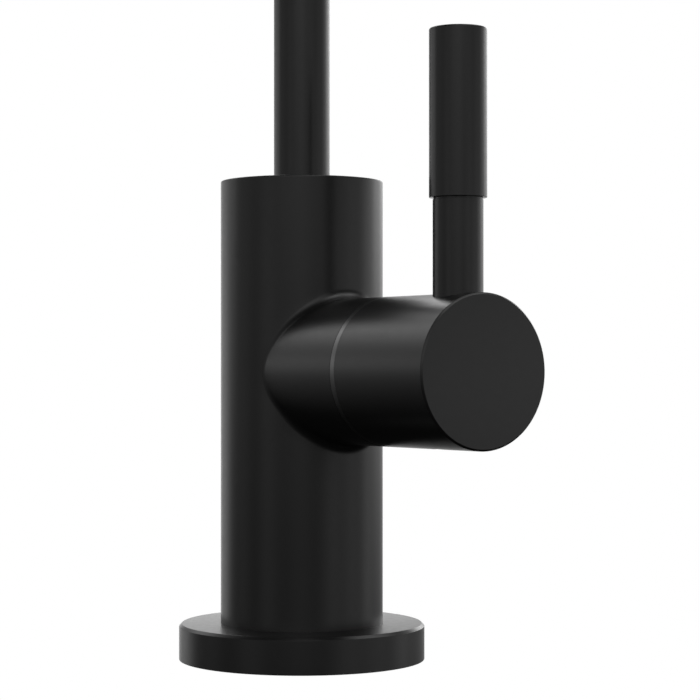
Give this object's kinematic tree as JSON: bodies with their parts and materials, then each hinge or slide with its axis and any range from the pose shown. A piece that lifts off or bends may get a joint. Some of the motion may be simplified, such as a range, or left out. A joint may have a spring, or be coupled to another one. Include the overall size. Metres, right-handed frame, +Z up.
{
  "type": "drinking water faucet",
  "caption": "Deck-mounted drinking water faucet: round column on a base flange, swivelling gooseneck spout and an upright quarter-turn lever on a side barrel.",
  "frame": {"origin": "centre of the base flange's underside, on the deck's top face, with the column on the Z axis", "axes": "+Z up, away from the deck; -Y to the front, where the spout's outlet hangs; +X along the side barrel, towards the handle"},
  "size_m": [0.0743, 0.1578, 0.356],
  "materials": {
    "black_coat": "satin black powder coat over brass",
    "brass": "machined, bare",
    "steel": "stainless, bare",
    "rubber": "black moulded rubber",
    "acetal": "grey moulded acetal",
    "black_acetal": "turned and polished black acetal",
    "ceramic": "lapped white alumina ceramic"
  },
  "bodies": {
    "body": {"base_flange": "black_coat", "base_gasket": "rubber", "column": "black_coat", "column_o_ring": "rubber", "shank": "brass", "deck_rubber_washer": "rubber", "deck_steel_washer": "steel", "lock_nut": "brass", "cartridge_housing": "brass", "cartridge_o_ring": "rubber", "seat_seal": "rubber", "fixed_disc": "ceramic", "spindle_washer": "acetal", "hub_glide_ring": "black_acetal", "spout_lower_bearing": "acetal", "spout_upper_bearing": "acetal", "top_cap": "black_coat"},
    "handle": {"moving_disc": "ceramic", "spindle": "brass", "spindle_o_rings": "rubber", "spindle_clip": "steel", "handle_hub": "black_coat", "hub_set_screw": "steel", "lever_stem": "black_coat", "lever_grip": "black_coat"},
    "spout": {"spout_foot": "brass", "spout_o_rings": "rubber", "spout_tube": "black_coat", "outlet_tip": "black_coat", "stream_straightener": "acetal"}
  },
  "joints": [
    {"name": "handle_turn", "type": "hinge", "parent": "body", "child": "handle", "pos_m": [0.02835, 0, 0.0513], "axis": [1, 0, 0], "range_deg": [0, 90]},
    {"name": "spout_swivel", "type": "hinge", "parent": "body", "child": "spout", "pos_m": [0, 0, 0.06775], "axis": [0, 0, 1], "continuous": true}
  ]
}
